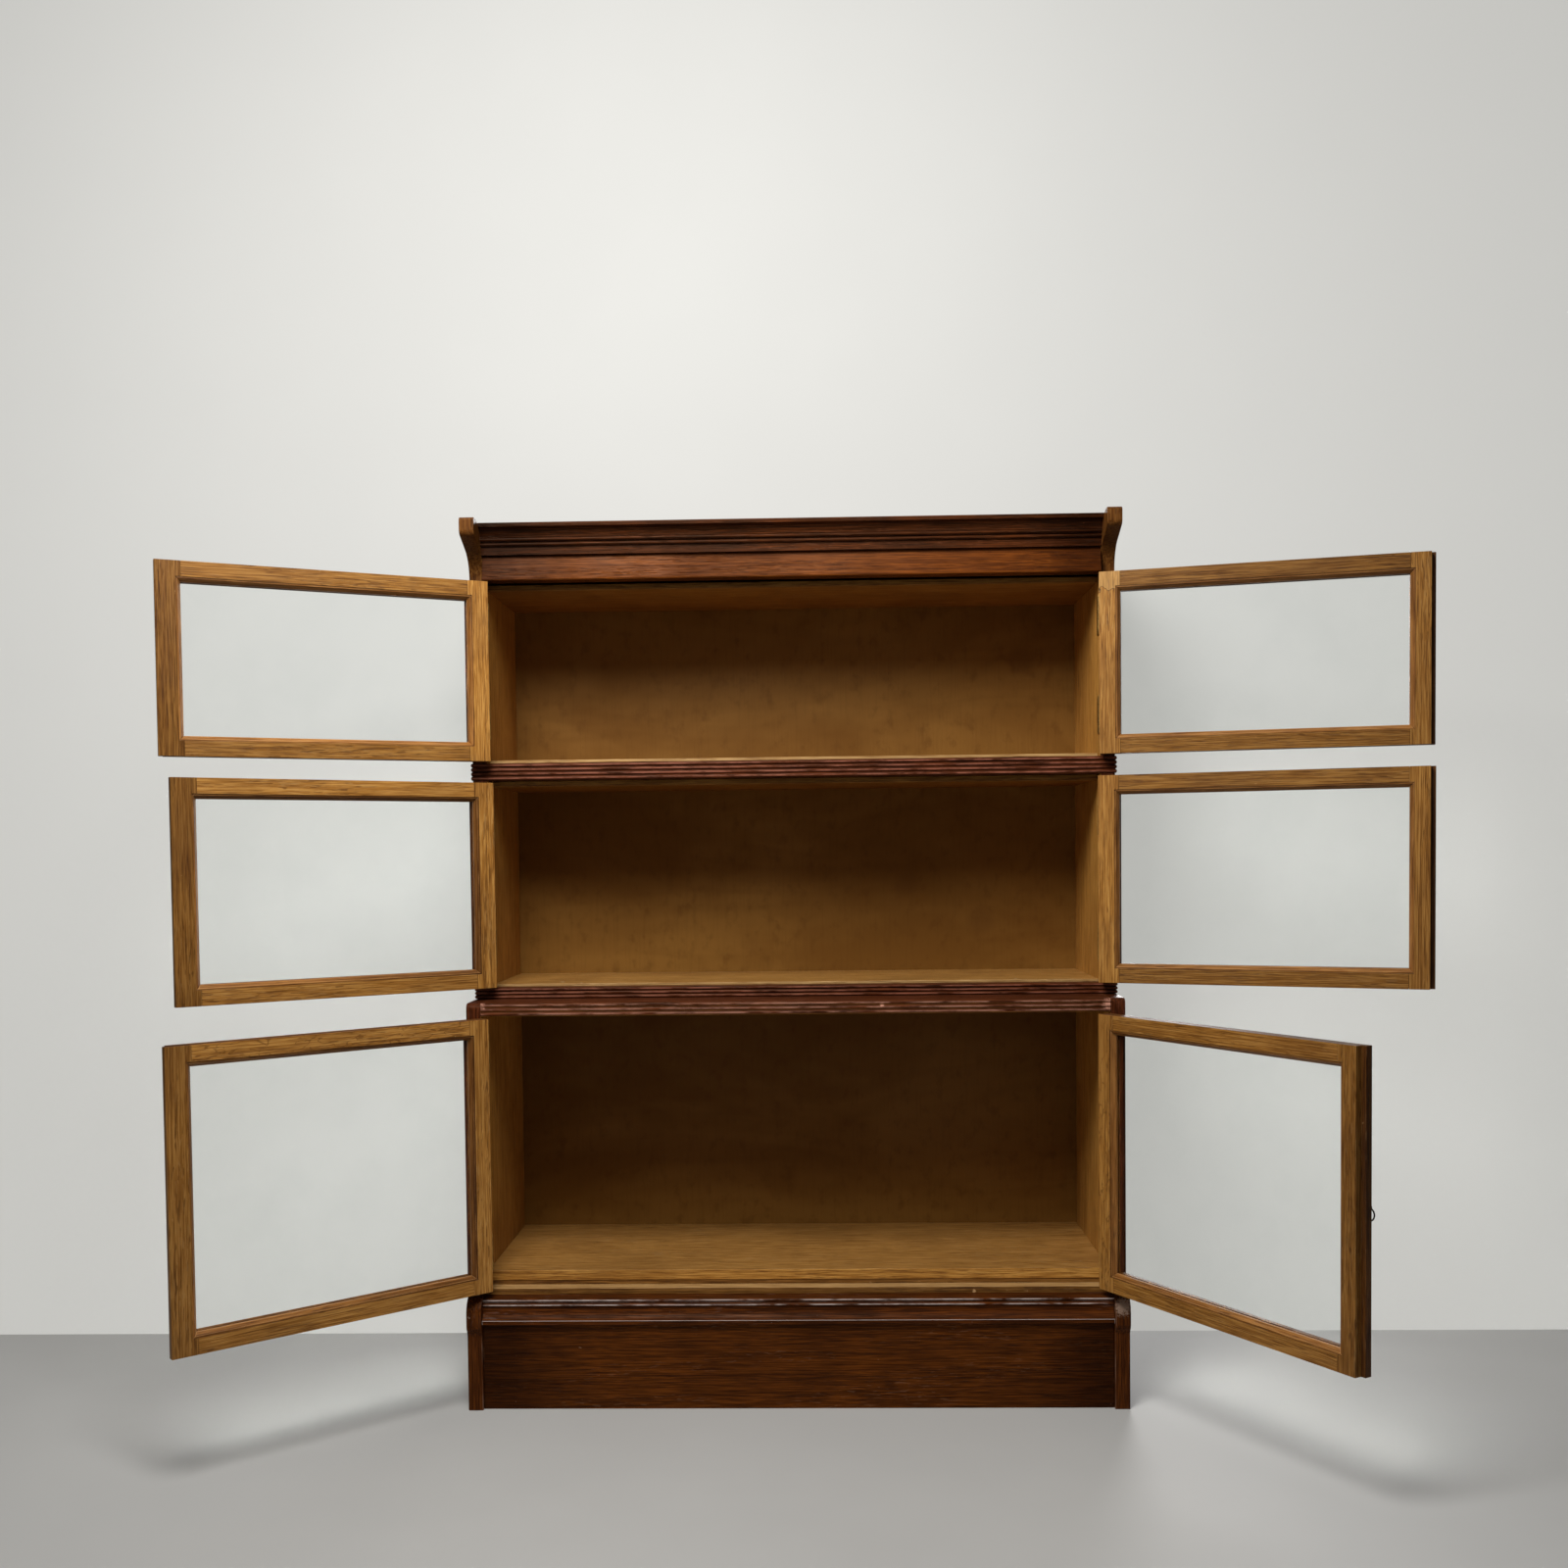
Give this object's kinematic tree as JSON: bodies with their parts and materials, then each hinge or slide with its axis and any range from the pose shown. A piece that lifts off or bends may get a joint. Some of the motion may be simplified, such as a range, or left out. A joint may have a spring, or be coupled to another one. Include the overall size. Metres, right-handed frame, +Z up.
{
  "type": "barrister bookcase",
  "caption": "Stacked sectional bookcase in stained oak: glazed hinged door pairs close each compartment, over a plinth and under a scroll-ended cornice.",
  "frame": {"origin": "on the floor, on the centre plane, under the middle of the plinth's back rail", "axes": "+Z up, -Y is the front that the doors open towards, +X is the viewer's right when facing the front"},
  "size_m": [1.6223, 0.6636, 1.2005],
  "materials": {
    "stained_oak": "dark red-brown stained oak, satin, worn",
    "frieze_oak": "mid-brown stained oak, satin",
    "plinth_stain": "very dark stained oak, scuffed",
    "honey_oak": "clear-finished oak, satin",
    "door_oak": "honey oak inside, stained outside",
    "bead_oak": "oak glazing bead, satin",
    "plywood": "aged plywood, dull",
    "glass": "clear window glass",
    "hinge_brass": "aged brass",
    "dark_brass": "darkened brass"
  },
  "bodies": {
    "case": {"plinth_end_left": "plinth_stain", "plinth_end_right": "plinth_stain", "plinth_moulding": "plinth_stain", "plinth_fascia": "plinth_stain", "lower_side_left": "stained_oak", "lower_side_right": "stained_oak", "lower_sill": "honey_oak", "lower_floor": "honey_oak", "lower_back": "plywood", "lower_ledge_top": "stained_oak", "middle_band": "stained_oak", "middle_side_left": "stained_oak", "middle_side_right": "stained_oak", "middle_floor": "honey_oak", "middle_back": "plywood", "middle_top_board": "honey_oak", "upper_band": "stained_oak", "upper_side_left": "stained_oak", "upper_side_right": "stained_oak", "upper_floor": "honey_oak", "upper_back": "plywood", "upper_top_board": "honey_oak", "cornice_end_left": "stained_oak", "cornice_end_right": "stained_oak", "crown_moulding": "stained_oak", "frieze_board": "frieze_oak", "cornice_top_board": "stained_oak", "back_rails": "plinth_stain", "case_hinge_leaves": "hinge_brass", "hinge_pins": "hinge_brass"},
    "lower_left_door": {"lower_left_door_frame": "door_oak", "lower_left_door_beads": "bead_oak", "lower_left_door_glass": "glass", "lower_left_door_hinge_leaves": "hinge_brass"},
    "lower_right_door": {"lower_right_door_frame": "door_oak", "lower_right_door_beads": "bead_oak", "lower_right_door_glass": "glass", "lower_right_door_hinge_leaves": "hinge_brass", "lower_right_pull_post": "dark_brass"},
    "lower_pull_ring": {"lower_right_pull_ring": "dark_brass"},
    "middle_left_door": {"middle_left_door_frame": "door_oak", "middle_left_door_beads": "bead_oak", "middle_left_door_glass": "glass", "middle_left_door_hinge_leaves": "hinge_brass"},
    "middle_right_door": {"middle_right_door_frame": "door_oak", "middle_right_door_beads": "bead_oak", "middle_right_door_glass": "glass", "middle_right_door_hinge_leaves": "hinge_brass", "middle_right_pull_post": "dark_brass"},
    "middle_pull_ring": {"middle_right_pull_ring": "dark_brass"},
    "upper_left_door": {"upper_left_door_frame": "door_oak", "upper_left_door_beads": "bead_oak", "upper_left_door_glass": "glass", "upper_left_door_hinge_leaves": "hinge_brass"},
    "upper_right_door": {"upper_right_door_frame": "door_oak", "upper_right_door_beads": "bead_oak", "upper_right_door_glass": "glass", "upper_right_door_hinge_leaves": "hinge_brass", "upper_right_pull_post": "dark_brass"},
    "upper_pull_ring": {"upper_right_pull_ring": "dark_brass"}
  },
  "joints": [
    {"name": "lower_left_door_hinge", "type": "hinge", "parent": "case", "child": "lower_left_door", "pos_m": [-0.422, -0.285, 0.3436], "axis": [0, 0, -1], "range_deg": [-138.7, 38.3]},
    {"name": "lower_right_door_hinge", "type": "hinge", "parent": "case", "child": "lower_right_door", "pos_m": [0.422, -0.285, 0.3436], "axis": [0, 0, 1], "range_deg": [-121.4, 55.6]},
    {"name": "lower_pull_ring_swing", "type": "hinge", "parent": "lower_right_door", "child": "lower_pull_ring", "pos_m": [0.64433, -0.62811, 0.3436], "axis": [-0.521, 0.8536, 0], "range_deg": [-75, 35]},
    {"name": "middle_left_door_hinge", "type": "hinge", "parent": "case", "child": "middle_left_door", "pos_m": [-0.422, -0.218, 0.705], "axis": [0, 0, -1], "range_deg": [-144, 33]},
    {"name": "middle_right_door_hinge", "type": "hinge", "parent": "case", "child": "middle_right_door", "pos_m": [0.422, -0.218, 0.705], "axis": [0, 0, 1], "range_deg": [-158.9, 18.1]},
    {"name": "middle_pull_ring_swing", "type": "hinge", "parent": "middle_right_door", "child": "middle_pull_ring", "pos_m": [0.80726, -0.35487, 0.705], "axis": [-0.933, 0.36, 0], "range_deg": [-75, 35]},
    {"name": "upper_left_door_hinge", "type": "hinge", "parent": "case", "child": "upper_left_door", "pos_m": [-0.422, -0.218, 0.9978], "axis": [0, 0, -1], "range_deg": [-152.6, 24.4]},
    {"name": "upper_right_door_hinge", "type": "hinge", "parent": "case", "child": "upper_right_door", "pos_m": [0.422, -0.218, 0.9978], "axis": [0, 0, 1], "range_deg": [-164.4, 12.6]},
    {"name": "upper_pull_ring_swing", "type": "hinge", "parent": "upper_right_door", "child": "upper_pull_ring", "pos_m": [0.8186, -0.31731, 0.9978], "axis": [-0.9632, 0.2689, 0], "range_deg": [-75, 35]}
  ]
}
